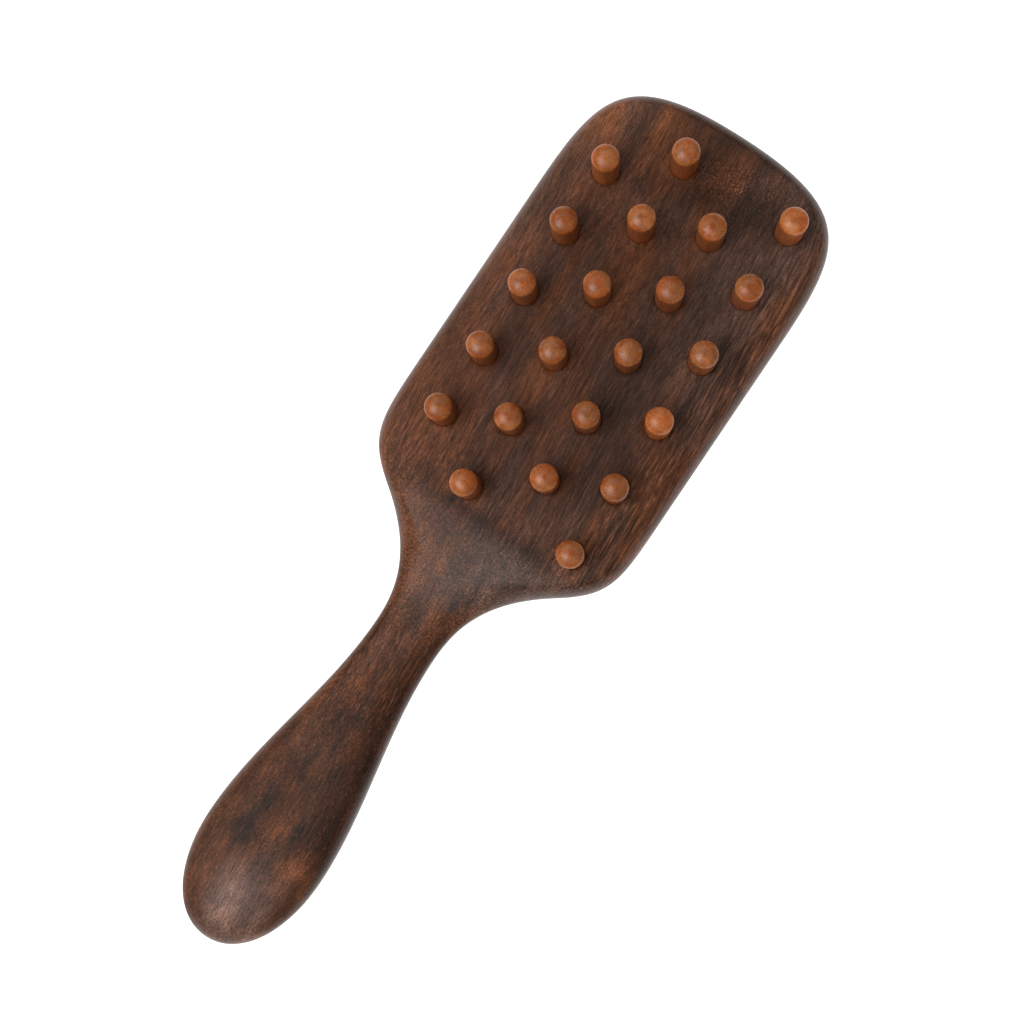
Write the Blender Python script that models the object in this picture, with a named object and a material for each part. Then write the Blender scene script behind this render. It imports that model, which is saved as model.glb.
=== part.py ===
"""Wooden scalp massager brush: a one-piece paddle and handle with turned pegs in blind sockets.

The brush lies on its flat back. +Y runs to the head, +Z is the way the pegs point, and the origin is under
the middle of the brush. A station is a distance along the brush, measured from the tip of the head.
"""
import math
from typing import NamedTuple

import bmesh
import bpy
from mathutils import Vector
from mathutils.geometry import interpolate_bezier

MM = 0.001


class Anchor(NamedTuple):
    """A point on the right half of the outline, with its heading and the reach of its curve handles.

    A heading of 0 degrees runs straight out across the brush, 90 along it to the handle, 180 straight in.
    """

    half_width: float
    station: float
    heading: float
    reach_back: float
    reach_forward: float
    steps: int


# Driving sizes of the body's outline
LENGTH = 245.0 * MM
HEAD_HALF_WIDTH = 37.3 * MM
NECK_HALF_WIDTH = 9.0 * MM
GRIP_HALF_WIDTH = 16.9 * MM

# Stations where the outline changes
CORNER_END = 38.5 * MM
SIDE_END = 92.0 * MM
SHOULDER = 124.0 * MM
NECK = 154.5 * MM
GRIP = 218.0 * MM

OUTLINE = (
    Anchor(0.0, 0.0, 0.0, 0.0, 35.0 * MM, 14),
    Anchor(HEAD_HALF_WIDTH, CORNER_END, 90.0, 28.0 * MM, 18.0 * MM, 3),
    Anchor(HEAD_HALF_WIDTH, SIDE_END, 90.0, 18.0 * MM, 19.0 * MM, 10),
    Anchor(26.0 * MM, SHOULDER, 144.0, 14.5 * MM, 18.8 * MM, 10),
    Anchor(NECK_HALF_WIDTH, NECK, 90.0, 8.7 * MM, 22.0 * MM, 9),
    Anchor(GRIP_HALF_WIDTH, GRIP, 90.0, 21.7 * MM, 15.0 * MM, 12),
    Anchor(0.0, LENGTH, 180.0, 10.2 * MM, 0.0, 0),
)

# Side profile of the body
FACE_HEIGHT = 14.0 * MM
NECK_TOP = 10.2 * MM
NECK_UNDERSIDE = 1.0 * MM
GRIP_TOP = 15.5 * MM
SCOOP_START = 117.5 * MM
SCOOP_LOW = 145.0 * MM
SCOOP_HALF_WIDTH = 15.0 * MM
SCOOP_FLARE = 0.05 / MM
GRIP_LEVEL = 206.0 * MM

# Rounding of the body's edge, measured inwards from the outline
HEAD_EDGE_REACH = 5.0 * MM
GRIP_EDGE_REACH = 24.0 * MM
EDGE_CHANGE_START = 114.0 * MM
EDGE_CHANGE_END = 160.0 * MM
WIDEST_EDGE_SHARE = 0.85
HEAD_EDGE_POWER = 2.0
GRIP_EDGE_POWER = 2.8
EDGE_STEPS = 5
FACE_STEPS = 3

# Pegs and their sockets
PEG_DIAMETER = 7.0 * MM
PEG_STANDING_HEIGHT = 13.5 * MM
PEG_CROWN_RADIUS = 4.6 * MM
PEG_EDGE_RADIUS = 1.2 * MM
PEG_LEAD_IN = 0.5 * MM
SOCKET_DEPTH = 7.5 * MM
GLUE_GAP = 0.3 * MM
ROUND_SEGMENTS = 20
PEG_EDGE_STEPS = 2
PEG_CROWN_STEPS = 3

# Staggered peg field: name, place across in spacings and number of pegs of each lengthwise column
COLUMNS = (("a", -1.5, 5), ("b", -0.5, 6), ("c", 0.5, 5), ("d", 1.5, 6))
COLUMN_SPACING = 15.6 * MM
ROW_PITCH = {5: 18.3 * MM, 6: 19.4 * MM}
FIELD_STATION = 64.0 * MM

# Finish
DARK_WOOD_COLOUR = (0.061, 0.026, 0.017, 1.0)
PEG_WOOD_COLOUR = (0.376, 0.127, 0.045, 1.0)
SATIN_ROUGHNESS = 0.4
SHARP_ANGLE = math.radians(35.0)
MERGE_DISTANCE = 0.001 * MM

# Sizes that follow from the driving ones
HEAD_TIP_Y = LENGTH / 2.0
PEG_RADIUS = PEG_DIAMETER / 2.0
PEG_FOOT = FACE_HEIGHT - SOCKET_DEPTH + GLUE_GAP
PEG_LENGTH = FACE_HEIGHT + PEG_STANDING_HEIGHT - PEG_FOOT
QUARTER_TURN = math.pi / 2.0


def clear_scene():
    """Remove every object that the file opened with."""
    for item in list(bpy.data.objects):
        bpy.data.objects.remove(item, do_unlink=True)


def satin_wood(name, colour):
    """Return a lacquered wood material."""
    material = bpy.data.materials.new(name)
    material.use_nodes = True
    shader = material.node_tree.nodes["Principled BSDF"]
    shader.inputs["Base Color"].default_value = colour
    shader.inputs["Roughness"].default_value = SATIN_ROUGHNESS
    shader.inputs["Metallic"].default_value = 0.0
    material.diffuse_color = colour
    return material


def smooth_step(value, start, end):
    """Return 0 before start, 1 after end and a smooth climb between them."""
    share = min(max((value - start) / (end - start), 0.0), 1.0)
    return share * share * (3.0 - 2.0 * share)


def scoop_share(place):
    """Return how much of the scoop's drop is reached at a place.

    Towards the shoulders it starts earlier, by the square of the distance from its straight middle.
    """
    outside = max(abs(place.x) - SCOOP_HALF_WIDTH, 0.0)
    return smooth_step(place.y, SCOOP_START - SCOOP_FLARE * outside * outside, SCOOP_LOW)


def top_height(place):
    """Return the height of the pegs' side: level face, scooped neck, raised grip."""
    rise = smooth_step(place.y, SCOOP_LOW, GRIP_LEVEL)
    return FACE_HEIGHT + (NECK_TOP - FACE_HEIGHT) * scoop_share(place) + (GRIP_TOP - NECK_TOP) * rise


def underside_height(station):
    """Return the height of the back: flat on the table, lifted only along the neck."""
    lift = smooth_step(station, SCOOP_START, SCOOP_LOW) - smooth_step(station, SCOOP_LOW, GRIP_LEVEL)
    return NECK_UNDERSIDE * lift


def edge_reach(station, spoke_length):
    """Return how far the rounding of the edge runs inwards at a station."""
    change = smooth_step(station, EDGE_CHANGE_START, EDGE_CHANGE_END)
    reach = HEAD_EDGE_REACH + (GRIP_EDGE_REACH - HEAD_EDGE_REACH) * change
    return min(reach, WIDEST_EDGE_SHARE * spoke_length)


def edge_power(station):
    """Return the power of the rounding's superellipse: 2 is a plain ellipse, more is flatter on top."""
    change = smooth_step(station, EDGE_CHANGE_START, EDGE_CHANGE_END)
    return HEAD_EDGE_POWER + (GRIP_EDGE_POWER - HEAD_EDGE_POWER) * change


def spine_place(station):
    """Return the place on the spine that a point of the outline is joined to; the ends fan out."""
    return Vector((0.0, min(max(station, CORNER_END), GRIP)))


def heading_vector(degrees):
    """Return the direction of a heading as (across, along)."""
    angle = math.radians(degrees)
    return Vector((math.cos(angle), math.sin(angle)))


def outline_points():
    """Return the closed outline as (across, station) points: right side down, left side back up."""
    right = []
    for here, there in zip(OUTLINE, OUTLINE[1:]):
        start = Vector((here.half_width, here.station))
        end = Vector((there.half_width, there.station))
        leave = start + heading_vector(here.heading) * here.reach_forward
        arrive = end - heading_vector(there.heading) * there.reach_back
        right.extend(interpolate_bezier(start, leave, arrive, end, here.steps + 1)[:-1])
    right.append(end)
    left = [Vector((-point.x, point.y)) for point in reversed(right[1:-1])]
    return right + left


def body_point(place, lift, upper):
    """Return a surface point: lift 0 is the middle of the edge, 1 the full height or depth there."""
    top = top_height(place)
    underside = underside_height(place.y)
    middle = (top + underside) / 2.0
    full = top if upper else underside
    return Vector((place.x, HEAD_TIP_Y - place.y, middle + (full - middle) * lift))


def edge_ring(outline, angle, upper):
    """Return one ring of the rounded edge: angle 0 is the outline, a quarter turn ends the rounding."""
    ring = []
    for rim in outline:
        spoke = spine_place(rim.y) - rim
        bend = 2.0 / edge_power(rim.y)
        inset = edge_reach(rim.y, spoke.length) * (1.0 - math.cos(angle) ** bend)
        ring.append(body_point(rim + spoke.normalized() * inset, math.sin(angle) ** bend, upper))
    return ring


def inner_ring(outline, share, upper):
    """Return a ring inside the rounding: share 0 is its end, 1 the spine that closes the body."""
    ring = []
    for rim in outline:
        spoke = spine_place(rim.y) - rim
        reach = edge_reach(rim.y, spoke.length)
        inset = reach + (spoke.length - reach) * share
        ring.append(body_point(rim + spoke.normalized() * inset, 1.0, upper))
    return ring


def finish_mesh(shape, name):
    """Merge poles and seams, face the shape outwards and return it as a mesh."""
    bmesh.ops.remove_doubles(shape, verts=shape.verts, dist=MERGE_DISTANCE)
    bmesh.ops.recalc_face_normals(shape, faces=shape.faces)
    mesh = bpy.data.meshes.new(name)
    shape.to_mesh(mesh)
    shape.free()
    return mesh


def body_mesh():
    """Return the paddle, neck and grip as one closed skin of rings, from the back up to the face."""
    outline = outline_points()
    angles = [QUARTER_TURN * step / EDGE_STEPS for step in range(EDGE_STEPS + 1)]
    rings = [inner_ring(outline, 1.0, False)]
    rings += [edge_ring(outline, angle, False) for angle in reversed(angles[1:])]
    rings += [edge_ring(outline, angle, True) for angle in angles]
    rings += [inner_ring(outline, (step + 1) / FACE_STEPS, True) for step in range(FACE_STEPS)]

    shape = bmesh.new()
    loops = [[shape.verts.new(point) for point in ring] for ring in rings]
    count = len(outline)
    for lower, higher in zip(loops, loops[1:]):
        for index in range(count):
            after = (index + 1) % count
            shape.faces.new((lower[index], lower[after], higher[after], higher[index]))
    return finish_mesh(shape, "paddle_body")


def add_turned(shape, profile, place):
    """Spin a (radius, height) profile, foot to tip, round a vertical line through place."""
    verts = [shape.verts.new(place + Vector((radius, 0.0, height))) for radius, height in profile]
    edges = [shape.edges.new(pair) for pair in zip(verts, verts[1:])]
    bmesh.ops.spin(
        shape, geom=verts + edges, cent=place, axis=(0.0, 0.0, 1.0), dvec=(0.0, 0.0, 0.0),
        angle=math.tau, steps=ROUND_SEGMENTS, use_merge=True, use_duplicate=False)


def arc(centre, radius, start, end, steps):
    """Return the (radius, height) points of an arc; its angles are measured from upright."""
    points = []
    for step in range(steps + 1):
        angle = start + (end - start) * step / steps
        points.append((centre[0] + radius * math.sin(angle), centre[1] + radius * math.cos(angle)))
    return points


def peg_tip():
    """Return the profile of the tip: a rounded edge that runs into a shallow round crown."""
    crown_centre = PEG_LENGTH - PEG_CROWN_RADIUS
    edge_centre = PEG_RADIUS - PEG_EDGE_RADIUS
    between_centres = PEG_CROWN_RADIUS - PEG_EDGE_RADIUS
    meeting = math.asin(edge_centre / between_centres)
    edge_height = crown_centre + between_centres * math.cos(meeting)
    edge = arc((edge_centre, edge_height), PEG_EDGE_RADIUS, QUARTER_TURN, meeting, PEG_EDGE_STEPS)
    crown = arc((0.0, crown_centre), PEG_CROWN_RADIUS, meeting, 0.0, PEG_CROWN_STEPS)
    return edge + crown[1:]


def peg_mesh():
    """Return one straight dowel, from its bevelled foot at height 0 to its domed tip."""
    profile = [(0.0, 0.0), (PEG_RADIUS - PEG_LEAD_IN, 0.0), (PEG_RADIUS, PEG_LEAD_IN)]
    profile += peg_tip()
    shape = bmesh.new()
    add_turned(shape, profile, Vector((0.0, 0.0, 0.0)))
    return finish_mesh(shape, "peg")


def socket_mesh(places):
    """Return the drill shapes of all the sockets, each reaching well above the face."""
    radius = PEG_RADIUS + GLUE_GAP
    drill_top = 2.0 * SOCKET_DEPTH
    profile = ((0.0, 0.0), (radius, 0.0), (radius, drill_top), (0.0, drill_top))
    shape = bmesh.new()
    for place in places:
        add_turned(shape, profile, Vector((place.x, place.y, FACE_HEIGHT - SOCKET_DEPTH)))
    return finish_mesh(shape, "socket_drill")


def peg_places():
    """Return each peg's name and the place of its centre line."""
    places = {}
    for column, across, count in COLUMNS:
        first = FIELD_STATION - ROW_PITCH[count] * (count - 1) / 2.0
        for row in range(count):
            station = first + ROW_PITCH[count] * row
            places[f"peg_{column}{row + 1}"] = Vector((across * COLUMN_SPACING, HEAD_TIP_Y - station))
    return places


def add_object(name, mesh, material, parent):
    """Add a named, smooth-shaded object under the brush's empty."""
    mesh.materials.clear()
    mesh.materials.append(material)
    mesh.shade_smooth()
    mesh.set_sharp_from_angle(angle=SHARP_ANGLE)
    item = bpy.data.objects.new(name, mesh)
    item.parent = parent
    bpy.context.scene.collection.objects.link(item)
    return item


def drill_sockets(body, drill):
    """Cut the drill shapes out of the body and leave them as a hidden guide."""
    drill.hide_render = True
    drill.display_type = "WIRE"
    sockets = body.modifiers.new("sockets", "BOOLEAN")
    sockets.operation = "DIFFERENCE"
    sockets.solver = "EXACT"
    sockets.object = drill


def main():
    """Build the body, drill its sockets and stand a peg in each one."""
    clear_scene()
    brush = bpy.data.objects.new("scalp_brush", None)
    bpy.context.scene.collection.objects.link(brush)
    dark_wood = satin_wood("dark_wood", DARK_WOOD_COLOUR)
    peg_wood = satin_wood("peg_wood", PEG_WOOD_COLOUR)

    places = peg_places()
    body = add_object("paddle_body", body_mesh(), dark_wood, brush)
    drill = add_object("socket_drill", socket_mesh(places.values()), dark_wood, brush)
    drill_sockets(body, drill)

    dowel = peg_mesh()
    for name, place in places.items():
        peg = add_object(name, dowel, peg_wood, brush)
        peg.location = (place.x, place.y, PEG_FOOT)


main()
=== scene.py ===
"""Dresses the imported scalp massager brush: fine wooden surfaces, lacquered finishes, studio and camera.

Sizes in the classes are millimetres. Meshes are written in metres in the frame's own axes: +Y runs to the
head, +Z is the way the pegs point. A station is a distance along the brush from the tip of its head.
"""

import logging
import math
from dataclasses import dataclass, fields
from enum import Enum
from typing import Dict, List, Optional, Tuple, Union

import bmesh
import bpy
import numpy as np
from mathutils import Matrix, Vector


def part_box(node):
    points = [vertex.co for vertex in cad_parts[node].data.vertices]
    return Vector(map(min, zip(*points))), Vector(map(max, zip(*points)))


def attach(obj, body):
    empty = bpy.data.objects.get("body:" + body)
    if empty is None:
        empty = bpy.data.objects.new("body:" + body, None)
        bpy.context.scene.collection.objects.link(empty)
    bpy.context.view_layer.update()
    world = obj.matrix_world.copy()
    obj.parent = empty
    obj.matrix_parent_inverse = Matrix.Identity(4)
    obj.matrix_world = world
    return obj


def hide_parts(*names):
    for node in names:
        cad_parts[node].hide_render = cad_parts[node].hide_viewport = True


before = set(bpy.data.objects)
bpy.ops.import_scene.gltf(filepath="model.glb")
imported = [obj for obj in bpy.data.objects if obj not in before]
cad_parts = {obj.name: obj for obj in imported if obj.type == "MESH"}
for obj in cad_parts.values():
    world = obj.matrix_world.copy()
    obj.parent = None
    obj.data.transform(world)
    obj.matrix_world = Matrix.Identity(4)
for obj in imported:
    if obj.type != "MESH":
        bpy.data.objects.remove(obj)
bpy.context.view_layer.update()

MM = 0.001
BODY_NODE = "paddle_body"
PEG_PREFIX = "peg_"
MERGE_DISTANCE = 1e-7
SHARP_EDGE = math.radians(40.0)
QUARTER_TURN = math.pi / 2.0
HEADING_OUT = 0.0
HEADING_ALONG = 90.0
HEADING_IN = 180.0
NOISE_MIDDLE = 0.5
LOG = logging.getLogger("scalp_brush")

Value = Union[float, "Term"]
Span = Tuple[float, float]
Spans = Tuple[Span, ...]
Triple = Tuple[float, float, float]
Colour = Triple


class WoodSlot(Enum):
    """The record's material slots."""

    BODY = "body_wood"
    PEG = "peg_wood"


class Term:
    """A shader value: Python operators on it add Math nodes to its graph."""

    def __init__(self, graph: "Graph", socket: bpy.types.NodeSocket) -> None:
        """Wrap a node's output socket."""
        self.graph = graph
        self.socket = socket

    def __add__(self, other: Value) -> "Term":
        """Return self + other."""
        return self.graph.math("ADD", self, other)

    def __radd__(self, other: Value) -> "Term":
        """Return other + self."""
        return self.graph.math("ADD", other, self)

    def __sub__(self, other: Value) -> "Term":
        """Return self - other."""
        return self.graph.math("SUBTRACT", self, other)

    def __rsub__(self, other: Value) -> "Term":
        """Return other - self."""
        return self.graph.math("SUBTRACT", other, self)

    def __mul__(self, other: Value) -> "Term":
        """Return self * other."""
        return self.graph.math("MULTIPLY", self, other)

    def __rmul__(self, other: Value) -> "Term":
        """Return other * self."""
        return self.graph.math("MULTIPLY", other, self)

    def __truediv__(self, other: Value) -> "Term":
        """Return self / other."""
        return self.graph.math("DIVIDE", self, other)

    def __rtruediv__(self, other: Value) -> "Term":
        """Return other / self."""
        return self.graph.math("DIVIDE", other, self)

    def __pow__(self, other: Value) -> "Term":
        """Return self to the power of other."""
        return self.graph.math("POWER", self, other)

    def __rpow__(self, other: Value) -> "Term":
        """Return other to the power of self."""
        return self.graph.math("POWER", other, self)

    def __abs__(self) -> "Term":
        """Return the size of the value without its sign."""
        return self.graph.math("ABSOLUTE", self)


class Graph:
    """The node tree of one material or world.

    MIX and NOISE name places of sockets. DRIFT is the noise by which fibres wander, in cells per millimetre,
    and how much further they wander in depth than sideways.
    """

    MIX_FIRST = 6
    MIX_SECOND = 7
    MIX_RESULT = 2
    NOISE_COLOUR = 1
    DRIFT_CELLS = (0.04, 0.025, 0.04)
    DRIFT_DEPTH = 3.0

    def __init__(self, tree: bpy.types.NodeTree) -> None:
        """Empty the tree, ready for new nodes."""
        self.tree = tree
        self.tree.nodes.clear()

    def node(self, kind: str, settings: Optional[Dict[str, object]] = None,
             inputs: Optional[Dict[Union[str, int], object]] = None, output: Union[str, int] = 0) -> Term:
        """Add a node.

        Args:
            kind: the node's type name.
            settings: properties that are set before anything is linked.
            inputs: values or terms for its input sockets, by name or place.
            output: the output socket to return, by name or place.

        Returns:
            The chosen output as a term, or the node's first input where it has no output.
        """
        made = self.tree.nodes.new(kind)
        for key, setting in (settings or {}).items():
            setattr(made, key, setting)
        for key, value in (inputs or {}).items():
            if isinstance(value, Term):
                self.tree.links.new(value.socket, made.inputs[key])
            else:
                made.inputs[key].default_value = value
        return Term(self, made.outputs[output] if made.outputs else made.inputs[0])

    def math(self, operation: str, first: Value, second: Value = 0.0) -> Term:
        """Return a Math node's result on two values."""
        return self.node("ShaderNodeMath", {"operation": operation}, {0: first, 1: second})

    def climb(self, value: Term, start: float, end: float, low: float = 0.0, high: float = 1.0) -> Term:
        """Follow a value on a smooth climb.

        Args:
            value: the value that is followed.
            start: where the climb begins, on either side of its end.
            end: where the climb is over.
            low: the result before the climb.
            high: the result after the climb.

        Returns:
            low before start, high after end, and 3t^2 - 2t^3 of the way in between.
        """
        return self.node(
            "ShaderNodeMapRange", {"interpolation_type": "SMOOTHSTEP"},
            {"Value": value, "From Min": start, "From Max": end, "To Min": low, "To Max": high})

    def mix(self, share: Value, first: Union[Term, Colour], second: Union[Term, Colour]) -> Term:
        """Mix two colours.

        Args:
            share: how much of the second colour shows, 0 to 1.
            first: the first colour.
            second: the second colour.

        Returns:
            The mixed colour.
        """
        first = first if isinstance(first, Term) else (*first, 1.0)
        second = second if isinstance(second, Term) else (*second, 1.0)
        return self.node(
            "ShaderNodeMix", {"data_type": "RGBA", "blend_type": "MIX"},
            {0: share, self.MIX_FIRST: first, self.MIX_SECOND: second}, self.MIX_RESULT)

    def vector(self, operation: str, first: Union[Term, Triple], second: Union[Term, Triple]) -> Term:
        """Return a Vector Math node's result on two vectors."""
        return self.node("ShaderNodeVectorMath", {"operation": operation}, {0: first, 1: second})

    def brighten(self, colour: Term, stops: Term) -> Term:
        """Return a colour times 2 to the power of a number of stops."""
        return self.node("ShaderNodeVectorMath", {"operation": "SCALE"}, {0: colour, "Scale": 2.0 ** stops})

    def noise(self, place: Term, cells: Triple, detail: float, roughness: float = 0.5,
              output: int = 0) -> Term:
        """Add soft noise.

        Args:
            place: where the noise is read, in millimetres.
            cells: number of its cells per millimetre along each axis.
            detail: number of finer layers in it.
            roughness: strength of the finer layers.
            output: the noise as a value or, with NOISE_COLOUR, as three values.

        Returns:
            The noise, with NOISE_MIDDLE as its mean.
        """
        stretched = self.vector("MULTIPLY", place, cells)
        return self.node(
            "ShaderNodeTexNoise", {"noise_dimensions": "3D"},
            {"Vector": stretched, "Scale": 1.0, "Detail": detail, "Roughness": roughness}, output)

    def place(self) -> Term:
        """Return Object coordinates in millimetres."""
        coordinates = self.node("ShaderNodeTexCoord", output="Object")
        return self.vector("MULTIPLY", coordinates, (1.0 / MM,) * 3)

    def distance(self, place: Term, centre: Triple, weights: Triple) -> Term:
        """Return the distance of a place from a centre, with a weight for each axis."""
        apart = self.vector("MULTIPLY", self.vector("SUBTRACT", place, centre), weights)
        return self.node("ShaderNodeVectorMath", {"operation": "LENGTH"}, {0: apart}, "Value")

    def part(self, place: Term, axis: str) -> Term:
        """Return a place's coordinate along one axis."""
        return self.node("ShaderNodeSeparateXYZ", None, {0: place}, axis)

    def grain_place(self, lean: float, wander: float) -> Term:
        """Find the place in the wood.

        Args:
            lean: how far the grain turns from the length of the piece, in radians.
            wander: how far the fibres drift sideways, in millimetres.

        Returns:
            Object coordinates in millimetres, turned by lean and drifting by wander.
        """
        turned = self.node(
            "ShaderNodeMapping", {"vector_type": "POINT"},
            {"Vector": self.place(), "Rotation": (0.0, 0.0, -lean)})
        drift = self.noise(turned, self.DRIFT_CELLS, detail=1.0, output=self.NOISE_COLOUR)
        centred = self.vector("SUBTRACT", drift, (NOISE_MIDDLE,) * 3)
        reach = (wander, 0.0, self.DRIFT_DEPTH * wander)
        return self.vector("ADD", turned, self.vector("MULTIPLY", centred, reach))


def new_material(name: str) -> Tuple[bpy.types.Material, Graph]:
    """Make a material with an empty graph.

    Args:
        name: the material's name.

    Returns:
        The material and its graph.
    """
    material = bpy.data.materials.new(name)
    material.use_nodes = True
    return material, Graph(material.node_tree)


@dataclass(frozen=True)
class Grain:
    """Noise drawn out along the wood, with its cells per millimetre, detail and roughness."""

    cells: Triple
    detail: float = 1.0
    roughness: float = 0.5

    def on(self, graph: Graph, place: Term) -> Term:
        """Return the noise at a place in the wood."""
        return graph.noise(place, self.cells, self.detail, self.roughness)

    def swing(self, graph: Graph, place: Term) -> Term:
        """Return the noise at a place in the wood, with a mean of 0."""
        return self.on(graph, place) - NOISE_MIDDLE


@dataclass(frozen=True)
class Flecks:
    """Separate marks at the peaks of a grain, and the span of its noise in which they come up."""

    grain: Grain
    rise: Span

    def on(self, graph: Graph, place: Term) -> Term:
        """Return the marks at a place in the wood: 0 between them, 1 on them."""
        return graph.climb(self.grain.on(graph, place), *self.rise)


@dataclass(frozen=True)
class Patch:
    """A soft-edged patch on the body, of a given strength and in one region or in all.

    A span runs from where the patch begins to where it is full, on one of the measures of BodyPlace. The
    spans are multiplied, so that two of them can close the patch from both sides.
    """

    strength: float = 1.0
    region: Optional["Region"] = None
    along: Spans = ()
    across: Spans = ()
    slant: Spans = ()
    side: Spans = ()
    out: Spans = ()
    spot: Spans = ()

    def on(self, body: "BodyPlace") -> Term:
        """Work out the patch at a place on the body.

        Args:
            body: the place.

        Returns:
            The patch's strength inside it and 0 outside.
        """
        mask = self.strength
        if self.region is not None:
            mask = mask * body.mask(self.region)
        for measure, value in body.measures.items():
            for start, end in getattr(self, measure):
                mask = mask * body.graph.climb(value, start, end)
        return mask


class Region(Enum):
    """The regions of the body, tip to end, each with the patch that it covers."""

    SPOT = Patch(spot=((15.0, 4.0),))
    CLOUD = Patch(across=((-12.0, -3.0), (24.0, 15.0)), slant=((103.0, 107.0), (115.0, 111.0)))
    STAIN = Patch(across=((-21.0, -13.0), (19.0, 11.0)), slant=((97.2, 100.7), (107.2, 103.7)))
    STREAKED = Patch(across=((22.0, 30.0),))
    SHOULDER = Patch(along=((34.0, 16.0), (-6.0, 6.0)))
    SCOOP = Patch(along=((14.0, -2.0), (-40.0, -26.0)))
    NECK = Patch(along=((-24.0, -34.0), (-62.0, -50.0)))
    GRIP = Patch(along=((-10.0, -34.0),))
    HANDLE = Patch(along=((-30.0, -60.0),))
    PALM = Patch(along=((-58.0, -76.0), (-108.0, -92.0)))
    TAIL = Patch(along=((-84.0, -100.0),))
    END = Patch(along=((-92.0, -108.0),))


@dataclass
class BodyPlace:
    """A place on the body: its measures, and how far it lies in each region.

    along and across are millimetres from the middle of the brush to the head and to the right. slant is
    along on lines that climb to the right. side is across as a share of the half width of neck and grip, and
    out is side without its sign. spot is the distance from the dark spot near the tip.
    """

    graph: Graph
    neck_along: float = -32.0
    grip_along: float = -95.0
    neck_half_width: float = 9.0
    grip_half_width: float = 16.9
    slope: float = 0.35
    spot_centre: Triple = (7.0, 107.0, 0.0)
    spot_weights: Triple = (0.7, 1.5, 0.0)

    def __post_init__(self) -> None:
        """Work out the measures, with no region asked for yet."""
        place = self.graph.place()
        along = self.graph.part(place, "Y")
        across = self.graph.part(place, "X")
        side = across / self.graph.climb(
            along, self.neck_along, self.grip_along, self.neck_half_width, self.grip_half_width)
        self.measures: Dict[str, Term] = {
            "along": along,
            "across": across,
            "slant": along - self.slope * across,
            "side": side,
            "out": abs(side),
            "spot": self.graph.distance(place, self.spot_centre, self.spot_weights),
        }
        self.masks: Dict[Region, Term] = {}

    def mask(self, region: Region) -> Term:
        """Look up a region, which is worked out when it is first asked for.

        Args:
            region: the region.

        Returns:
            1 inside the region and 0 outside.
        """
        if region not in self.masks:
            self.masks[region] = region.value.on(self)
        return self.masks[region]


@dataclass(frozen=True)
class Strength:
    """How strong a pattern is: a base, and what it gains in some regions."""

    base: float
    gains: Tuple[Tuple[Region, float], ...]

    def on(self, body: BodyPlace) -> Term:
        """Return the strength at a place on the body."""
        return sum((gain * body.mask(region) for region, gain in self.gains), self.base)


@dataclass(frozen=True)
class PatchGroup:
    """Patches that add up to one property of the body's wood."""

    def on(self, body: BodyPlace) -> Term:
        """Return the sum of the patches at a place on the body."""
        return sum(getattr(self, entry.name).on(body) for entry in fields(self))


@dataclass(frozen=True)
class PaleWoodAndPaintedLight(PatchGroup):
    """Where the body is paler, in stops: sides, corners and the left of the scoop, with painted sheen on the
    right of the scoop and at the end, and painted reflection on the rims.
    """

    left_corner: Patch = Patch(0.5, along=((78.0, 110.0),), across=((-8.0, -29.0),))
    right_corner: Patch = Patch(0.4, along=((82.0, 100.0),), across=((16.0, 28.0),))
    cloud: Patch = Patch(0.2, Region.CLOUD)
    left_flank: Patch = Patch(0.575, along=((15.0, 80.0),), across=((-19.0, -33.0),))
    right_flank: Patch = Patch(0.138, along=((15.0, 80.0),), across=((20.0, 30.0),))
    # Painted reflection: the outermost rounding on the right of the head is lighter.
    right_rim_shading: Patch = Patch(0.15, along=((60.0, 80.0),), across=((34.5, 36.0),))
    left_shoulder: Patch = Patch(0.14, along=((22.0, 16.0), (-2.0, 4.0)), across=((-20.0, -26.0),))
    last_row: Patch = Patch(0.35, along=((24.0, 14.0), (6.0, 9.0)), across=((-6.0, 4.0), (30.0, 22.0)))
    brink_left: Patch = Patch(0.3, along=((8.0, 4.0), (-5.0, 0.0)), across=((-27.0, -21.0), (-11.0, -16.0)))
    scoop_left: Patch = Patch(0.3, along=((-5.0, -10.0), (-22.0, -15.0)), across=((6.0, -4.0),))
    # Painted sheen: a lighter band along the right of the scoop.
    scoop_right_sheen: Patch = Patch(0.5, along=((3.0, -5.0), (-21.0, -13.0)), across=((8.0, 13.0), (27.0, 21.0)))
    neck: Patch = Patch(0.14, along=((-10.0, -22.0), (-44.0, -28.0)))
    # Painted reflection: the right rim of the neck is lighter.
    neck_right_rim_reflection: Patch = Patch(0.3, Region.GRIP, along=((-60.0, -30.0),), side=((0.8, 0.93),))
    # Painted reflection: both rims of the grip are lighter.
    grip_rim_reflection: Patch = Patch(0.4, Region.GRIP, out=((0.78, 0.93),))
    # Painted sheen: the middle of the handle's end is lighter.
    tail_sheen: Patch = Patch(0.88, Region.TAIL, across=((-7.0, 0.0), (17.0, 10.0)))
    end_left: Patch = Patch(0.2, Region.END, side=((-0.3, -0.55),))
    # Painted sheen: the last millimetres of the end are lighter.
    end_rim_sheen: Patch = Patch(0.3, along=((-110.0, -117.0),))


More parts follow.
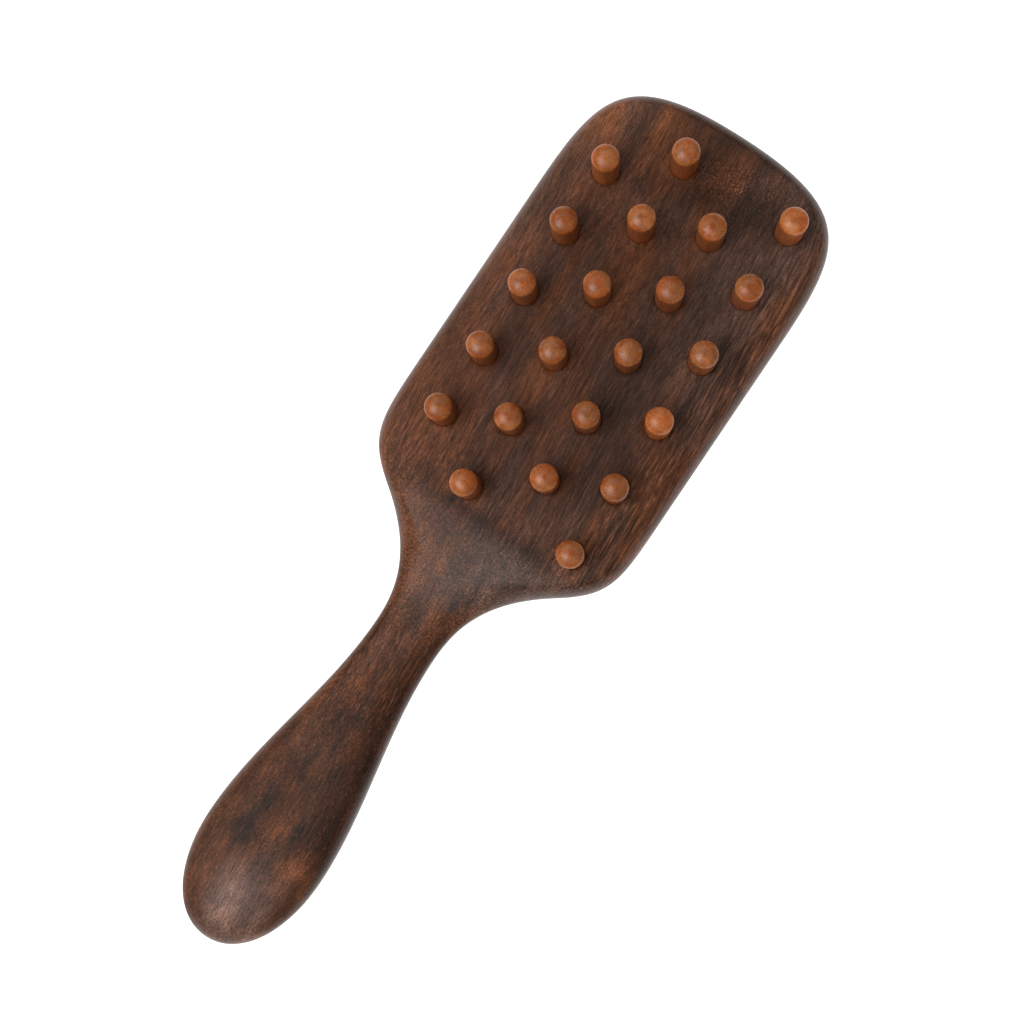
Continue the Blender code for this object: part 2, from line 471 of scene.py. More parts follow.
@dataclass(frozen=True)
class DarkWoodAndPaintedShade(PatchGroup):
    """Where the body is darker, in stops: a spot, a stained band that also holds painted shade at the feet of
    the top pegs, and painted shade at the tip, the brink of the scoop, the right rim, the neck's left and the
    right grip.
    """

    # Painted shade: the top edge of the head, turned away from the key light, is darker.
    tip: Patch = Patch(0.4, along=((114.0, 119.0),))
    spot: Patch = Patch(0.68, Region.SPOT)
    # A dark stained band, which also paints the shade at the feet of the top pegs.
    stain_and_peg_shade: Patch = Patch(0.45, Region.STAIN)
    # Painted shade: the rounding just inside the head's right rim is darker.
    right_rim_shading: Patch = Patch(0.25, along=((95.0, 75.0),), across=((30.0, 34.0),))
    left_side: Patch = Patch(0.13, along=((52.0, 40.0), (12.0, 20.0)), across=((-20.0, -27.0),))
    belt: Patch = Patch(0.22, along=((66.0, 54.0), (18.0, 28.0)), across=((-10.0, 4.0), (28.0, 20.0)))
    # Painted shade: a dark line across the head where the face breaks into the scoop.
    line: Patch = Patch(0.42, along=((9.0, 5.0), (1.0, 4.5)), across=((-30.0, -20.0), (24.0, 15.0)))
    # Painted shade: the brink of the scoop is darker.
    brink: Patch = Patch(0.55, along=((6.5, 4.0), (-9.0, 0.0)), across=((-17.0, -10.0), (24.0, 14.0)))
    scoop: Patch = Patch(0.16, Region.SCOOP, across=((14.0, 8.0),))
    # Painted shade: the left side of the neck is darker.
    neck_left_shade: Patch = Patch(1.0, Region.GRIP, along=((-60.0, -30.0),), side=((-0.4, -0.8),))
    # Painted shade: the right side of the grip, away from the key light, is darker.
    grip_right_shade: Patch = Patch(1.2, Region.GRIP, along=((-100.0, -84.0),), side=((0.12, 0.72),))
    # Painted shade: darker still near the grip's right edge.
    grip_right_edge_shade: Patch = Patch(0.3, Region.GRIP, along=((-100.0, -84.0),), side=((0.6, 0.8),))
    handle: Patch = Patch(0.25, Region.HANDLE)
    palm: Patch = Patch(0.2, Region.PALM)
    # Painted shade: the right of the handle's end is darker.
    tail_right_shade: Patch = Patch(0.4, Region.TAIL, side=((0.5, 0.85),))


@dataclass(frozen=True)
class WarmWood(PatchGroup):
    """Where the body leans to its warm tone: most at the lower left and on the sides of the grip."""

    lower_left: Patch = Patch(0.3, along=((60.0, 10.0),), across=((-5.0, -25.0),))
    scoop: Patch = Patch(0.1, Region.SCOOP)
    grip_sides: Patch = Patch(0.3, Region.GRIP, out=((0.35, 0.75),))
    handle: Patch = Patch(0.08, Region.HANDLE)
    end_left: Patch = Patch(0.3, Region.END, side=((-0.1, -0.6),))


@dataclass(frozen=True)
class AshenWoodAndPaintedSheen(PatchGroup):
    """Where the body is greyer: grey wood at its upper right, and the grey of painted sheen on the right of
    the scoop and in the middle of the end.
    """

    upper_right: Patch = Patch(0.8, along=((35.0, 80.0),), across=((0.0, 22.0), (34.0, 27.0)))
    # Painted sheen: the grey of the sheen on the right of the scoop.
    scoop_right_sheen: Patch = Patch(0.8, along=((9.0, 0.0), (-22.0, -12.0)), across=((-6.0, 10.0),))
    # Painted sheen: the grey of the sheen in the middle of the handle's end.
    end_middle_sheen: Patch = Patch(0.85, Region.END, across=((-7.0, -1.0), (15.0, 9.0)))


@dataclass(frozen=True)
class MattWood(PatchGroup):
    """Where the lacquer of the body is matt: the palm, the end's left and the lower left side."""

    palm: Patch = Patch(1.0, Region.PALM, out=((0.9, 0.65),))
    end_left: Patch = Patch(0.8, Region.END, side=((-0.2, -0.5),), out=((0.9, 0.65),))
    lower_left: Patch = Patch(0.9, along=((64.0, 34.0), (-6.0, 3.0)), across=((-16.0, -24.0), (-35.0, -32.0)))


@dataclass(frozen=True)
class Wood:
    """What both woods share: a satin surface with a shallow relief of fibres and pores."""

    gloss: float
    roughness: float
    relief_strength: float
    relief_depth: float

    def surface(self, graph: Graph, colour: Term, roughness: Term, height: Term) -> None:
        """Add the shader and the material's output.

        Args:
            graph: the material's nodes.
            colour: the wood's colour.
            roughness: the roughness of its surface.
            height: the height of fibres and pores, in depths of the relief.
        """
        normal = graph.node("ShaderNodeBump", None, {
            "Strength": self.relief_strength, "Distance": self.relief_depth * MM, "Height": height})
        shader = graph.node("ShaderNodeBsdfPrincipled", None, {
            "Base Color": colour, "Roughness": roughness, "Normal": normal, "Specular IOR Level": self.gloss})
        graph.node("ShaderNodeOutputMaterial", None, {"Surface": shader})


@dataclass(frozen=True)
class BodyWood(Wood):
    """Dark open-grained wood under a thin satin lacquer."""

    gloss: float = 0.19
    roughness: float = 0.36
    relief_strength: float = 0.4
    relief_depth: float = 0.08
    matt_roughness: float = 0.24
    fibre_roughness: float = 0.12
    warm_colour: Colour = (0.100, 0.0338, 0.0136)
    cool_colour: Colour = (0.064, 0.0283, 0.0172)
    ash_and_sheen_colour: Colour = (0.070, 0.0395, 0.0300)
    pore_colour: Colour = (0.012, 0.006, 0.004)
    fleck_colour: Colour = (0.25, 0.100, 0.050)
    lean: float = math.radians(4.5)
    wander: float = 3.0
    # The paler, darker and greyer patch groups hold painted light, shade, sheen and reflections besides wood
    # tones.
    pale_and_painted_light: PaleWoodAndPaintedLight = PaleWoodAndPaintedLight()
    dark: DarkWoodAndPaintedShade = DarkWoodAndPaintedShade()
    warmth: WarmWood = WarmWood()
    ashen_and_painted_sheen: AshenWoodAndPaintedSheen = AshenWoodAndPaintedSheen()
    matt: MattWood = MattWood()
    hue: Grain = Grain((0.13, 0.03, 0.13), 2.0)
    hue_turn: Span = (0.36, 0.64)
    band: Grain = Grain((0.24, 0.014, 0.24), 2.0)
    band_strength: float = 1.3
    mottle: Grain = Grain((0.085, 0.04, 0.085), 3.0)
    mottle_strength: float = 2.4
    patch: Grain = Grain((0.18, 0.10, 0.18), 3.0)
    patch_strength: Strength = Strength(0.0, ((Region.HANDLE, 3.2), (Region.SCOOP, 2.2)))
    patch_hue: Strength = Strength(0.0, ((Region.HANDLE, 0.9), (Region.SCOOP, 0.8)))
    fibre: Grain = Grain((1.5, 0.09, 1.5), 2.0, 0.6)
    fibre_strength: Strength = Strength(1.9, (
        (Region.SHOULDER, 1.8), (Region.SCOOP, -0.3), (Region.NECK, 1.4), (Region.HANDLE, -0.4),
        (Region.STREAKED, 2.8)))
    fine: Grain = Grain((3.4, 0.28, 3.4))
    fine_strength: Strength = Strength(2.7, (
        (Region.SCOOP, -0.6), (Region.NECK, 0.9), (Region.HANDLE, -0.1), (Region.END, -0.2)))
    stipple: Grain = Grain((2.2, 1.9, 2.2))
    stipple_strength: Strength = Strength(1.6, (
        (Region.SCOOP, 2.6), (Region.SPOT, 1.6), (Region.CLOUD, 1.7), (Region.HANDLE, 1.5),
        (Region.END, -0.6)))
    pores: Flecks = Flecks(Grain((3.2, 0.28, 3.2)), (0.60, 0.75))
    pore_strength: float = 0.5
    dashes: Flecks = Flecks(Grain((2.0, 0.1, 2.0)), (0.60, 0.74))
    dash_strength: Strength = Strength(0.1, (
        (Region.HANDLE, 0.08), (Region.NECK, 0.3), (Region.STREAKED, 0.75)))
    specks: Flecks = Flecks(Grain((1.9, 1.4, 1.9)), (0.64, 0.78))
    speck_strength: Strength = Strength(0.1, (
        (Region.HANDLE, 0.3), (Region.SCOOP, 0.15), (Region.CLOUD, 0.3)))

    def material(self) -> bpy.types.Material:
        """Make the finish: mottled bands and fibres along the brush, dark pores, light flecks, soft gloss,
        and painted shade, sheen and rim reflections in places.

        Returns:
            The material.
        """
        material, graph = new_material("dark_brush_wood")
        body = BodyPlace(graph)
        place = graph.grain_place(self.lean, self.wander)
        fibre = self.fibre.swing(graph, place)
        stipple = self.stipple.swing(graph, place)
        patch = self.patch.swing(graph, place)
        pore = self.pores.on(graph, place)
        hue = self.hue.on(graph, place) + self.patch_hue.on(body) * patch + self.warmth.on(body)
        base = graph.mix(graph.climb(hue, *self.hue_turn), self.cool_colour, self.warm_colour)
        # Greyer base: grey wood, and the grey of painted sheen.
        base = graph.mix(self.ashen_and_painted_sheen.on(body), base, self.ash_and_sheen_colour)
        streaks = (self.fibre_strength.on(body) * fibre
                   + self.fine_strength.on(body) * self.fine.swing(graph, place)
                   + self.stipple_strength.on(body) * stipple)
        clouds = (self.band_strength * self.band.swing(graph, place)
                  + self.mottle_strength * self.mottle.swing(graph, place)
                  + self.patch_strength.on(body) * patch)
        # Paler and darker patches: the wood's own tones with painted light, shade, sheen and reflections.
        colour = graph.brighten(base, streaks + clouds + self.pale_and_painted_light.on(body) - self.dark.on(body))
        colour = graph.mix(self.pore_strength * pore, colour, self.pore_colour)
        for flecks, strength in ((self.dashes, self.dash_strength), (self.specks, self.speck_strength)):
            colour = graph.mix(strength.on(body) * flecks.on(graph, place), colour, self.fleck_colour)
        roughness = self.roughness + self.matt_roughness * self.matt.on(body) + self.fibre_roughness * fibre
        self.surface(graph, colour, roughness, fibre + stipple - pore)
        return material


@dataclass(frozen=True)
class PegWood(Wood):
    """Lighter close-grained wood of the turned pegs, with its end grain on the domes."""

    gloss: float = 0.36
    roughness: float = 0.30
    relief_strength: float = 0.3
    relief_depth: float = 0.04
    patch_roughness: float = 0.15
    warm_colour: Colour = (0.262, 0.0620, 0.0105)
    pale_colour: Colour = (0.282, 0.0920, 0.0265)
    wander: float = 0.6
    crown: Span = (24.4, 25.9)
    shoulder_foot: Span = (24.2, 25.0)
    shoulder_top: Span = (26.9, 25.8)
    # Painted light and shade, in stops: the sides darker, the crown and the rounded edge of the dome lighter.
    side_painted_shade: float = -0.27
    crown_painted_light: float = 0.28
    shoulder_painted_light: float = 0.15
    hue: Grain = Grain((0.3, 0.3, 0.05))
    hue_turn: Span = (0.35, 0.65)
    # Shares of the paler colour; more of it on the crown, as part of the painted light on the tips.
    side_paleness: float = 0.25
    crown_paleness: float = 0.75
    patch: Grain = Grain((0.4, 0.4, 0.06), 2.0)
    patch_strength: float = 1.6
    fibre: Grain = Grain((2.8, 2.8, 0.16), 2.0, 0.6)
    side_fibre: float = 1.2
    crown_fibre: float = 1.1
    tone_name: str = "tone"

    def material(self) -> bpy.types.Material:
        """Make the finish: upright fibres that show as dots on the domes, a tone for each peg, painted light
        that makes the tips paler and painted shade that darkens the sides.

        Returns:
            The material.
        """
        material, graph = new_material("peg_wood")
        place = graph.grain_place(0.0, self.wander)
        height = graph.part(graph.place(), "Z")
        crown = graph.climb(height, *self.crown)
        shoulder = graph.climb(height, *self.shoulder_foot) * graph.climb(height, *self.shoulder_top)
        fibre = self.fibre.swing(graph, place)
        patch = self.patch.swing(graph, place)
        own = graph.node("ShaderNodeAttribute", {"attribute_name": self.tone_name}, output="Fac")
        # Painted shade on the sides and painted light on the crown and dome edge, with each peg's own tone.
        tone = self.side_painted_shade + self.crown_painted_light * crown + self.shoulder_painted_light * shoulder + own
        paleness = self.side_paleness + self.crown_paleness * crown
        hue = graph.climb(self.hue.on(graph, place), *self.hue_turn)
        base = graph.mix(hue * paleness, self.warm_colour, self.pale_colour)
        streaks = (self.side_fibre + self.crown_fibre * crown) * fibre
        colour = graph.brighten(base, streaks + self.patch_strength * patch + tone)
        self.surface(graph, colour, self.roughness + self.patch_roughness * patch, fibre)
        return material


def ring_quads(rows: int, columns: int) -> np.ndarray:
    """Join a grid of points whose columns close into a ring.

    Args:
        rows: number of rings.
        columns: number of points in each ring.

    Returns:
        An array of four point numbers for each quad.
    """
    row, column = np.mgrid[0:rows - 1, 0:columns]
    after = (column + 1) % columns
    corners = (row * columns + column, row * columns + after,
               (row + 1) * columns + after, (row + 1) * columns + column)
    return np.stack(corners, axis=-1).reshape(-1, 4)


def closed_mesh(name: str, rings: np.ndarray) -> bpy.types.Mesh:
    """Make a closed, outward-facing mesh through rings of points.

    Args:
        name: the mesh's name.
        rings: array of rings, points and coordinates, in metres; end rings that fall together are merged.

    Returns:
        The mesh.
    """
    mesh = bpy.data.meshes.new(name)
    mesh.from_pydata(rings.reshape(-1, 3).tolist(), [], ring_quads(*rings.shape[:2]).tolist())
    shape = bmesh.new()
    shape.from_mesh(mesh)
    bmesh.ops.remove_doubles(shape, verts=shape.verts, dist=MERGE_DISTANCE)
    bmesh.ops.recalc_face_normals(shape, faces=shape.faces)
    shape.to_mesh(mesh)
    shape.free()
    return mesh


def turned_rings(radius: np.ndarray, height: np.ndarray, centre: Tuple[float, float],
                 sides: int) -> np.ndarray:
    """Turn a profile: each (radius, height) pair is swept once round an upright line.

    Args:
        radius: radii of the profile, foot to tip, in metres.
        height: heights of the profile, in metres.
        centre: place of the upright line.
        sides: number of points in each ring.

    Returns:
        Array of rings, points and coordinates.
    """
    angle = np.linspace(0.0, math.tau, sides, endpoint=False)
    across = centre[0] + radius[:, None] * np.cos(angle)
    along = centre[1] + radius[:, None] * np.sin(angle)
    return np.stack((across, along, np.broadcast_to(height[:, None], across.shape)), axis=-1)


def smooth_climb(value: np.ndarray, start: Union[float, np.ndarray], end: float) -> np.ndarray:
    """Return 0 before start, 1 after end and 3t^2 - 2t^3 between them."""
    share = np.clip((value - start) / (end - start), 0.0, 1.0)
    return share * share * (3.0 - 2.0 * share)


def new_object(name: str, data: bpy.types.ID) -> bpy.types.Object:
    """Put an object into the scene.

    Args:
        name: the object's name.
        data: its mesh, light or camera.

    Returns:
        The object, at the origin.
    """
    made = bpy.data.objects.new(name, data)
    bpy.context.scene.collection.objects.link(made)
    return made


def add_piece(name: str, mesh: bpy.types.Mesh, material: bpy.types.Material) -> bpy.types.Object:
    """Add a smooth-shaded piece of the brush.

    Args:
        name: the piece's name.
        mesh: its mesh, with the piece's place in it.
        material: its finish.

    Returns:
        The object.
    """
    mesh.materials.clear()
    mesh.materials.append(material)
    mesh.shade_smooth()
    mesh.set_sharp_from_angle(angle=SHARP_EDGE)
    return new_object(name, mesh)


@dataclass(frozen=True)
class Anchor:
    """A point of the right half of the outline, with its heading and the reach of its curve back and ahead.

    A heading of 0 degrees runs straight out across the brush, 90 along it to the handle, 180 straight in.
    Steps are the points from this anchor up to the next.
    """

    half_width: float
    station: float
    heading: float
    back: float
    ahead: float
    steps: int

    def place(self) -> np.ndarray:
        """Return the anchor as (across, station)."""
        return np.array((self.half_width, self.station))

    def direction(self) -> np.ndarray:
        """Return the heading as (across, along)."""
        angle = math.radians(self.heading)
        return np.array((math.cos(angle), math.sin(angle)))


@dataclass
class PegField:
    """The turned pegs, each standing in its socket."""

    crown_radius: float = 4.6
    edge_radius: float = 1.2
    lead_in: float = 0.5
    sides: int = 64
    edge_steps: int = 6
    crown_steps: int = 12
    tone_spread: float = 0.23
    seed: int = 36122

    def nodes(self) -> List[str]:
        """Return the names of the frame's peg nodes."""
        return sorted(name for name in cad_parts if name.startswith(PEG_PREFIX))

    def centre(self, node: str) -> Tuple[float, float]:
        """Return the place of a peg's centre line, in metres."""
        low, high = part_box(node)
        return (low.x + high.x) / 2.0, (low.y + high.y) / 2.0

    def radius(self) -> float:
        """Return the pegs' radius, in metres."""
        low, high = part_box(self.nodes()[0])
        return (high.x - low.x) / 2.0

    def rings(self, node: str) -> np.ndarray:
        """Work out one peg's rings.

        The profile runs from the middle of the foot over a short bevel, straight up the side, round a small
        edge and over a shallow crown. On both arcs the radius goes as sin(a) and the height as cos(a) round
        the arc's own centre, and the arcs share their slope where they meet.

        Args:
            node: the peg's node in the frame.

        Returns:
            Array of rings, points and coordinates.
        """
        low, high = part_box(node)
        radius = self.radius()
        bevel = self.lead_in * MM
        round_edge = self.edge_radius * MM
        crown = self.crown_radius * MM
        meeting = math.asin((radius - round_edge) / (crown - round_edge))
        turn = np.linspace(QUARTER_TURN, meeting, self.edge_steps + 1)
        dome = np.linspace(meeting, 0.0, self.crown_steps + 1)[1:]
        edge_height = high.z - crown + (crown - round_edge) * math.cos(meeting)
        radii = np.concatenate((
            (0.0, radius - bevel, radius), radius - round_edge + round_edge * np.sin(turn),
            crown * np.sin(dome)))
        heights = np.concatenate((
            (low.z, low.z, low.z + bevel), edge_height + round_edge * np.cos(turn),
            high.z - crown + crown * np.cos(dome)))
        return turned_rings(radii, heights, self.centre(node), self.sides)

    def build(self, wood: PegWood) -> List[bpy.types.Object]:
        """Build and dress every peg.

        Args:
            wood: the pegs' finish.

        Returns:
            The peg objects.
        """
        material = wood.material()
        tones = np.random.default_rng(self.seed).normal(0.0, self.tone_spread, len(self.nodes()))
        pieces = []
        for node, tone in zip(self.nodes(), tones):
            mesh = closed_mesh(f"turned_{node}", self.rings(node))
            own = mesh.attributes.new(wood.tone_name, "FLOAT", "POINT")
            own.data.foreach_set("value", np.full(len(mesh.vertices), tone))
            piece = add_piece(f"turned_{node}", mesh, material)
            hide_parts(node)
            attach(piece, "root")
            pieces.append(piece)
        return pieces


@dataclass
class PaddleBody:
    """The paddle, neck and grip in one piece, with the pegs' sockets drilled in its face.

    The drills of the sockets widen from one lip below the face. At their tops, drill_rise lips above it, they
    are lip_flare lips wider than the bore.
    """

    neck_half_width: float = 9.0
    grip_half_width: float = 16.9
    corner_end: float = 38.5
    side_end: float = 92.0
    shoulder: float = 124.0
    shoulder_half_width: float = 26.0
    shoulder_heading: float = 144.0
    neck: float = 154.5
    grip: float = 218.0
    face_height: float = 14.0
    neck_top: float = 10.2
    neck_underside: float = 1.0
    scoop_start: float = 117.5
    scoop_low: float = 145.0
    scoop_half_width: float = 15.0
    scoop_flare: float = 0.05
    grip_level: float = 206.0
    head_edge_reach: float = 5.0
    grip_edge_reach: float = 24.0
    edge_change_start: float = 114.0
    edge_change_end: float = 160.0
    widest_edge_share: float = 0.85
    head_edge_power: float = 2.0
    grip_edge_power: float = 2.8
    edge_steps: int = 16
    crown_steps: int = 12
    socket_depth: float = 7.5
    glue_gap: float = 0.03
    lip: float = 0.06
    lip_flare: float = 3.0
    drill_rise: float = 2.0
    drill_sides: int = 64

    def __post_init__(self) -> None:
        """Take the overall sizes from the frame."""
        low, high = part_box(BODY_NODE)
        self.length = (high.y - low.y) / MM
        self.head_half_width = (high.x - low.x) / 2.0 / MM
        self.grip_top = high.z / MM
        self.tip_y = high.y

    def anchors(self) -> Tuple[Anchor, ...]:
        """Return the points that the right half of the outline runs through, tip to end."""
        return (
            Anchor(0.0, 0.0, HEADING_OUT, back=0.0, ahead=35.0, steps=48),
            Anchor(self.head_half_width, self.corner_end, HEADING_ALONG, back=28.0, ahead=18.0, steps=24),
            Anchor(self.head_half_width, self.side_end, HEADING_ALONG, back=18.0, ahead=19.0, steps=36),
            Anchor(self.shoulder_half_width, self.shoulder, self.shoulder_heading,
                   back=14.5, ahead=18.8, steps=36),
            Anchor(self.neck_half_width, self.neck, HEADING_ALONG, back=8.7, ahead=22.0, steps=40),
            Anchor(self.grip_half_width, self.grip, HEADING_ALONG, back=21.7, ahead=15.0, steps=40),
            Anchor(0.0, self.length, HEADING_IN, back=10.2, ahead=0.0, steps=0),
        )

    def outline(self) -> np.ndarray:
        """Work out the closed outline, a cubic Bezier between each two anchors and its mirror image.

        Returns:
            Array of (across, station) points.
        """
        runs = []
        anchors = self.anchors()
        for here, there in zip(anchors, anchors[1:]):
            start, end = here.place(), there.place()
            leave = start + here.direction() * here.ahead
            arrive = end - there.direction() * there.back
            share = np.linspace(0.0, 1.0, here.steps, endpoint=False)[:, None]
            rest = 1.0 - share
            runs.append(rest**3 * start + 3 * rest**2 * share * leave
                        + 3 * rest * share**2 * arrive + share**3 * end)
        right = np.minimum(np.vstack(runs + [end[None]]), (self.head_half_width, self.length))
        left = right[-2:0:-1] * (-1.0, 1.0)
        return np.vstack((right, left))

    def top_height(self, place: np.ndarray) -> np.ndarray:
        """Work out the height of the pegs' side: level face, scooped neck, raised grip.

        The scoop's share of the drop is 3t^2 - 2t^3. Towards the shoulders it starts earlier, by the square
        of the distance from its straight middle.

        Args:
            place: array of (across, station) points.

        Returns:
            The heights.
        """
        station = place[..., 1]
        outside = np.maximum(np.abs(place[..., 0]) - self.scoop_half_width, 0.0)
        start = self.scoop_start - self.scoop_flare * outside**2
        scoop = smooth_climb(station, start, self.scoop_low)
        rise = smooth_climb(station, self.scoop_low, self.grip_level)
        return (self.face_height + (self.neck_top - self.face_height) * scoop
                + (self.grip_top - self.neck_top) * rise)

    def underside_height(self, station: np.ndarray) -> np.ndarray:
        """Return the height of the back: flat on the table, lifted only along the neck."""
        lift = (smooth_climb(station, self.scoop_start, self.scoop_low)
                - smooth_climb(station, self.scoop_low, self.grip_level))
        return self.neck_underside * lift

    def edge_change(self, station: np.ndarray) -> np.ndarray:
        """Return how far the edge has changed from the head's to the grip's at each station, 0 to 1."""
        return smooth_climb(station, self.edge_change_start, self.edge_change_end)

    def edge_power(self, station: np.ndarray) -> np.ndarray:
        """Return the power of the rounding at each station: 2 is an ellipse, more is flatter on top."""
        gain = self.grip_edge_power - self.head_edge_power
        return self.head_edge_power + gain * self.edge_change(station)

    def edge_reach(self, station: np.ndarray, spoke: np.ndarray) -> np.ndarray:
        """Work out how far the rounding runs inwards.

        Args:
            station: the stations of the outline's points.
            spoke: the lengths of their spokes to the spine.

        Returns:
            The reach of the rounding at each point, at most widest_edge_share of its spoke.
        """
        gain = self.grip_edge_reach - self.head_edge_reach
        reach = self.head_edge_reach + gain * self.edge_change(station)
        return np.minimum(reach, self.widest_edge_share * spoke)

    def rings(self) -> np.ndarray:
        """Work out the body's rings, from the spine of its back over the edge to the spine of its face.

        Each point of the outline has a spoke to the spine. Along it the rounding is a quarter superellipse
        of power p: the inset grows as 1 - cos(a)^(2/p) and the height as sin(a)^(2/p). Past the rounding
        the spoke follows the side profile to the spine.

        Returns:
            Array of rings, points and coordinates, in metres.
        """
        rim = self.outline()
        spine = np.stack((np.zeros(len(rim)), np.clip(rim[:, 1], self.corner_end, self.grip)), axis=-1)
        spoke = np.linalg.norm(spine - rim, axis=-1)
        inwards = (spine - rim) / spoke[:, None]
        reach = self.edge_reach(rim[:, 1], spoke)
        angle = np.concatenate((np.linspace(0.0, QUARTER_TURN, self.edge_steps + 1),
                                np.full(self.crown_steps, QUARTER_TURN)))
        crown = np.concatenate((np.zeros(self.edge_steps + 1),
                                np.linspace(0.0, 1.0, self.crown_steps + 1)[1:]))
        bend = 2.0 / self.edge_power(rim[:, 1])
        inset = reach * (1.0 - np.cos(angle)[:, None] ** bend) + (spoke - reach) * crown[:, None]
        place = rim + inwards * inset[..., None]
        top = self.top_height(place)
        underside = self.underside_height(place[..., 1])
        middle = (top + underside) / 2.0
        lift = np.sin(angle)[:, None] ** bend
        back = middle + (underside - middle) * lift
        face = middle + (top - middle) * lift
        height = np.concatenate((back[:0:-1], face))
        place = np.concatenate((place[:0:-1], place))
        return np.stack((place[..., 0] * MM, self.tip_y - place[..., 1] * MM, height * MM), axis=-1)

    def drill_mesh(self, pegs: PegField) -> bpy.types.Mesh:
        """Make the drill shapes of all the sockets: flat-ended bores that flare at a small lip.

        Args:
            pegs: the pegs that the sockets hold.

        Returns:
            One mesh that holds every drill.
        """
        bore = pegs.radius() + self.glue_gap * MM
        lip = self.lip * MM
        face = self.face_height * MM
        foot = face - self.socket_depth * MM
        top = face + self.drill_rise * lip
        radii = np.array((0.0, bore, bore, bore + self.lip_flare * lip, 0.0))
        heights = np.array((foot, foot, face - lip, top, top))
        shape = bmesh.new()
        for node in pegs.nodes():
            drill = closed_mesh("drill", turned_rings(radii, heights, pegs.centre(node), self.drill_sides))
            shape.from_mesh(drill)
            bpy.data.meshes.remove(drill)
        mesh = bpy.data.meshes.new("socket_drills")
        shape.to_mesh(mesh)
        shape.free()
        return mesh

    def cut_sockets(self, piece: bpy.types.Object, pegs: PegField) -> None:
        """Cut the pegs' sockets out of the body's mesh.

        Args:
            piece: the body.
            pegs: the pegs that the sockets hold.
        """
        drills = new_object("socket_drills", self.drill_mesh(pegs))
        cut = piece.modifiers.new("sockets", "BOOLEAN")
        cut.operation = "DIFFERENCE"
        cut.solver = "EXACT"
        cut.object = drills
        solid = piece.evaluated_get(bpy.context.evaluated_depsgraph_get())
        mesh = bpy.data.meshes.new_from_object(solid)
        piece.modifiers.clear()
        piece.data = mesh
        bpy.data.objects.remove(drills, do_unlink=True)

    def build(self, wood: BodyWood, pegs: PegField) -> bpy.types.Object:
        """Build, drill and dress the body.

        Args:
            wood: the body's finish.
            pegs: the pegs that its sockets hold.

        Returns:
            The body object.
        """
        mesh = closed_mesh("brush_body", self.rings())
        piece = add_piece("brush_body", mesh, wood.material())
        self.cut_sockets(piece, pegs)
        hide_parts(BODY_NODE)
        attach(piece, "root")
        return piece


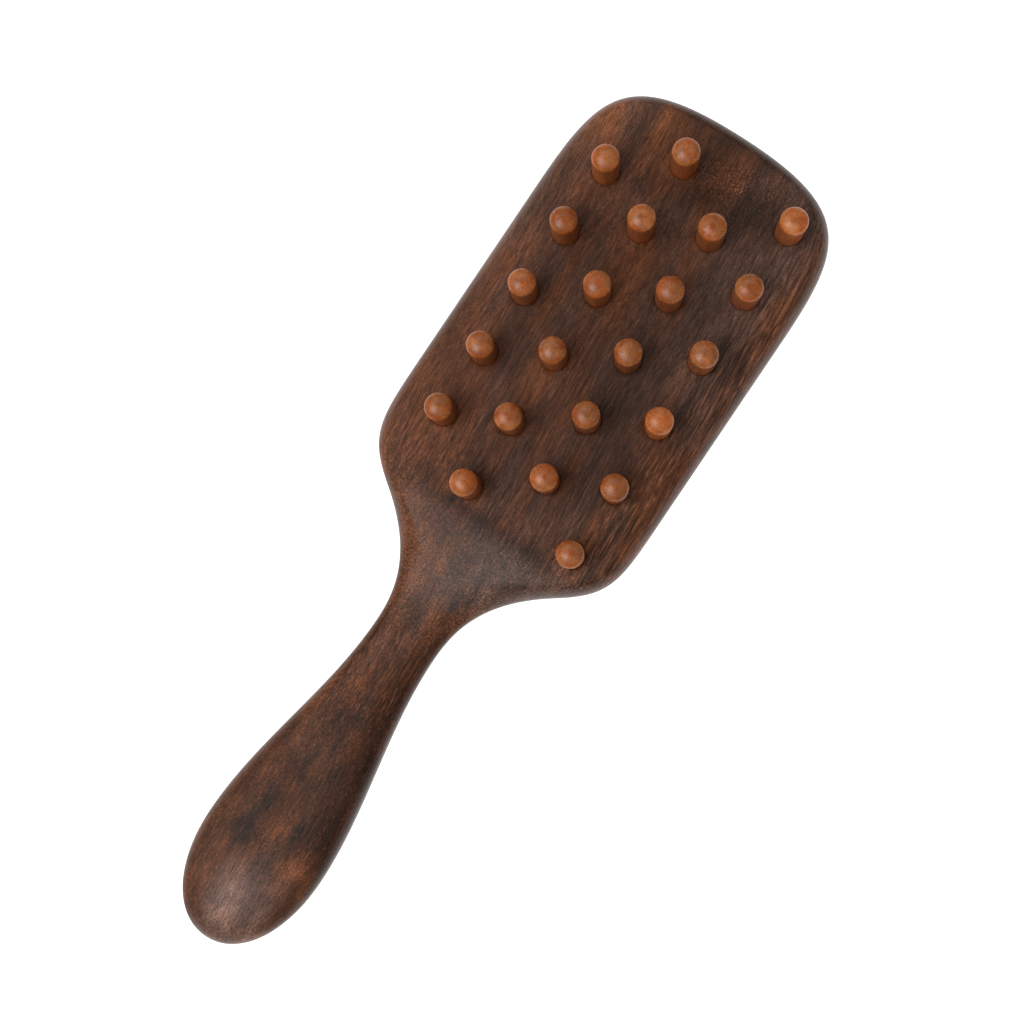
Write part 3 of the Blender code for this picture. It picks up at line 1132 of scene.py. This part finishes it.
@dataclass
class Studio:
    """A white light table, a soft key light over the handle's end and a camera above the brush.

    The table's size, the light and clip_start are in metres. The tent's spans are measured on the parts of a
    direction's unit vector, and a pair of glows holds what the span before it has at its start and its end.
    """

    camera_place: Triple = (35.6, 11.7, 374.2)
    camera_aim: Triple = (4.5, 10.6, 7.0)
    camera_turn: float = math.radians(33.9)
    lens: float = 50.7
    clip_start: float = 0.01
    floor_size: float = 6.0
    floor_drop: float = 0.2
    floor_glow: float = 1.28
    floor_white: float = 0.05
    floor_roughness: float = 0.9
    floor_gloss: float = 0.1
    key_tilt: float = math.radians(28.5)
    key_heading: float = math.radians(31.6)
    key_distance: float = 0.9
    key_size: float = 0.58
    key_power: float = 4.4
    tent_least: float = 0.08
    tent_glow: float = 1.2
    tent_side: Triple = (-0.66, -0.52, 0.54)
    tent_side_span: Span = (-0.5, 0.9)
    tent_side_glow: Span = (0.25, 1.55)
    ring_foot: Span = (0.4, 0.65)
    ring_top: Span = (0.97, 0.82)
    foot_glow: float = 1.0
    foot_top: Span = (0.2, 0.02)
    foot_head_span: Span = (0.95, 0.4)
    foot_head_glow: Span = (0.1, 1.0)
    foot_right_span: Span = (0.9, 0.2)
    foot_right_glow: Span = (0.35, 1.0)

    def build(self) -> None:
        """Build the floor, lights, world and camera."""
        self.floor()
        self.key_light()
        self.sky()
        self.camera()

    def floor(self) -> None:
        """Lay the table: one white sheet, gently lit from below so that it stays white under the brush."""
        half = self.floor_size / 2.0
        corners = [(-half, -half, 0.0), (half, -half, 0.0), (half, half, 0.0), (-half, half, 0.0)]
        mesh = bpy.data.meshes.new("light_table")
        mesh.from_pydata(corners, [], [(0, 1, 2, 3)])
        material, graph = new_material("light_table")
        shader = graph.node("ShaderNodeBsdfPrincipled", None, {
            "Base Color": (*(self.floor_white,) * 3, 1.0), "Roughness": self.floor_roughness,
            "Specular IOR Level": self.floor_gloss,
            "Emission Color": (1.0, 1.0, 1.0, 1.0), "Emission Strength": self.floor_glow})
        graph.node("ShaderNodeOutputMaterial", None, {"Surface": shader})
        mesh.materials.append(material)
        table = new_object("light_table", mesh)
        table.location.z = -self.floor_drop * MM

    def key_light(self) -> None:
        """Hang the key light over the handle's end, facing the brush."""
        data = bpy.data.lights.new("key_light", "AREA")
        data.energy = self.key_power
        data.size = self.key_size
        towards = Vector((-math.sin(self.key_heading) * math.sin(self.key_tilt),
                          -math.cos(self.key_heading) * math.sin(self.key_tilt), math.cos(self.key_tilt)))
        light = new_object("key_light", data)
        light.location = towards * self.key_distance
        light.rotation_euler = towards.to_track_quat("Z", "Y").to_euler()

    def sky(self) -> None:
        """Set a plain tent of light: a soft ring of sky, dim overhead, brighter on the key light's side.

        A second glow lies round the tent's foot, weaker at the head and at the right.
        """
        world = bpy.data.worlds.new("light_tent")
        world.use_nodes = True
        graph = Graph(world.node_tree)
        direction = graph.node("ShaderNodeTexCoord", output="Generated")
        upwards = graph.part(direction, "Z")
        sideways = graph.node(
            "ShaderNodeVectorMath", {"operation": "DOT_PRODUCT"}, {0: direction, 1: self.tent_side}, "Value")
        ring = (graph.climb(upwards, *self.ring_foot) * graph.climb(upwards, *self.ring_top)
                * graph.climb(sideways, *self.tent_side_span, *self.tent_side_glow))
        foot = (graph.climb(upwards, *self.foot_top)
                * graph.climb(graph.part(direction, "Y"), *self.foot_head_span, *self.foot_head_glow)
                * graph.climb(graph.part(direction, "X"), *self.foot_right_span, *self.foot_right_glow))
        glow = self.tent_least + self.foot_glow * foot + self.tent_glow * ring
        seen = graph.node("ShaderNodeLightPath", output="Is Camera Ray")
        shader = graph.node("ShaderNodeBackground", None, {"Strength": glow + seen})
        graph.node("ShaderNodeOutputWorld", None, {"Surface": shader})
        bpy.context.scene.world = world

    def camera(self) -> None:
        """Set the camera above the brush, turned so that the handle points down and to the left."""
        data = bpy.data.cameras.new("camera")
        data.lens = self.lens
        data.clip_start = self.clip_start
        place = Vector(self.camera_place) * MM
        back = (place - Vector(self.camera_aim) * MM).normalized()
        level = Vector((math.cos(self.camera_turn), math.sin(self.camera_turn), 0.0))
        right = (level - back * level.dot(back)).normalized()
        up = back.cross(right)
        turn = Matrix((right, up, back)).transposed()
        camera = new_object("camera", data)
        camera.matrix_world = Matrix.Translation(place) @ turn.to_4x4()
        bpy.context.scene.camera = camera
        bpy.context.scene.view_settings.view_transform = "Standard"


def main() -> None:
    """Build the studio, the body and the pegs in order, and log each piece."""
    logging.basicConfig(level=logging.INFO, format="%(name)s: %(message)s")
    Studio().build()
    pegs = PegField()
    pieces = [PaddleBody().build(BodyWood(), pegs)] + pegs.build(PegWood())
    for piece in pieces:
        LOG.info("%s has %d faces", piece.name, len(piece.data.polygons))


if __name__ == "__main__":
    main()
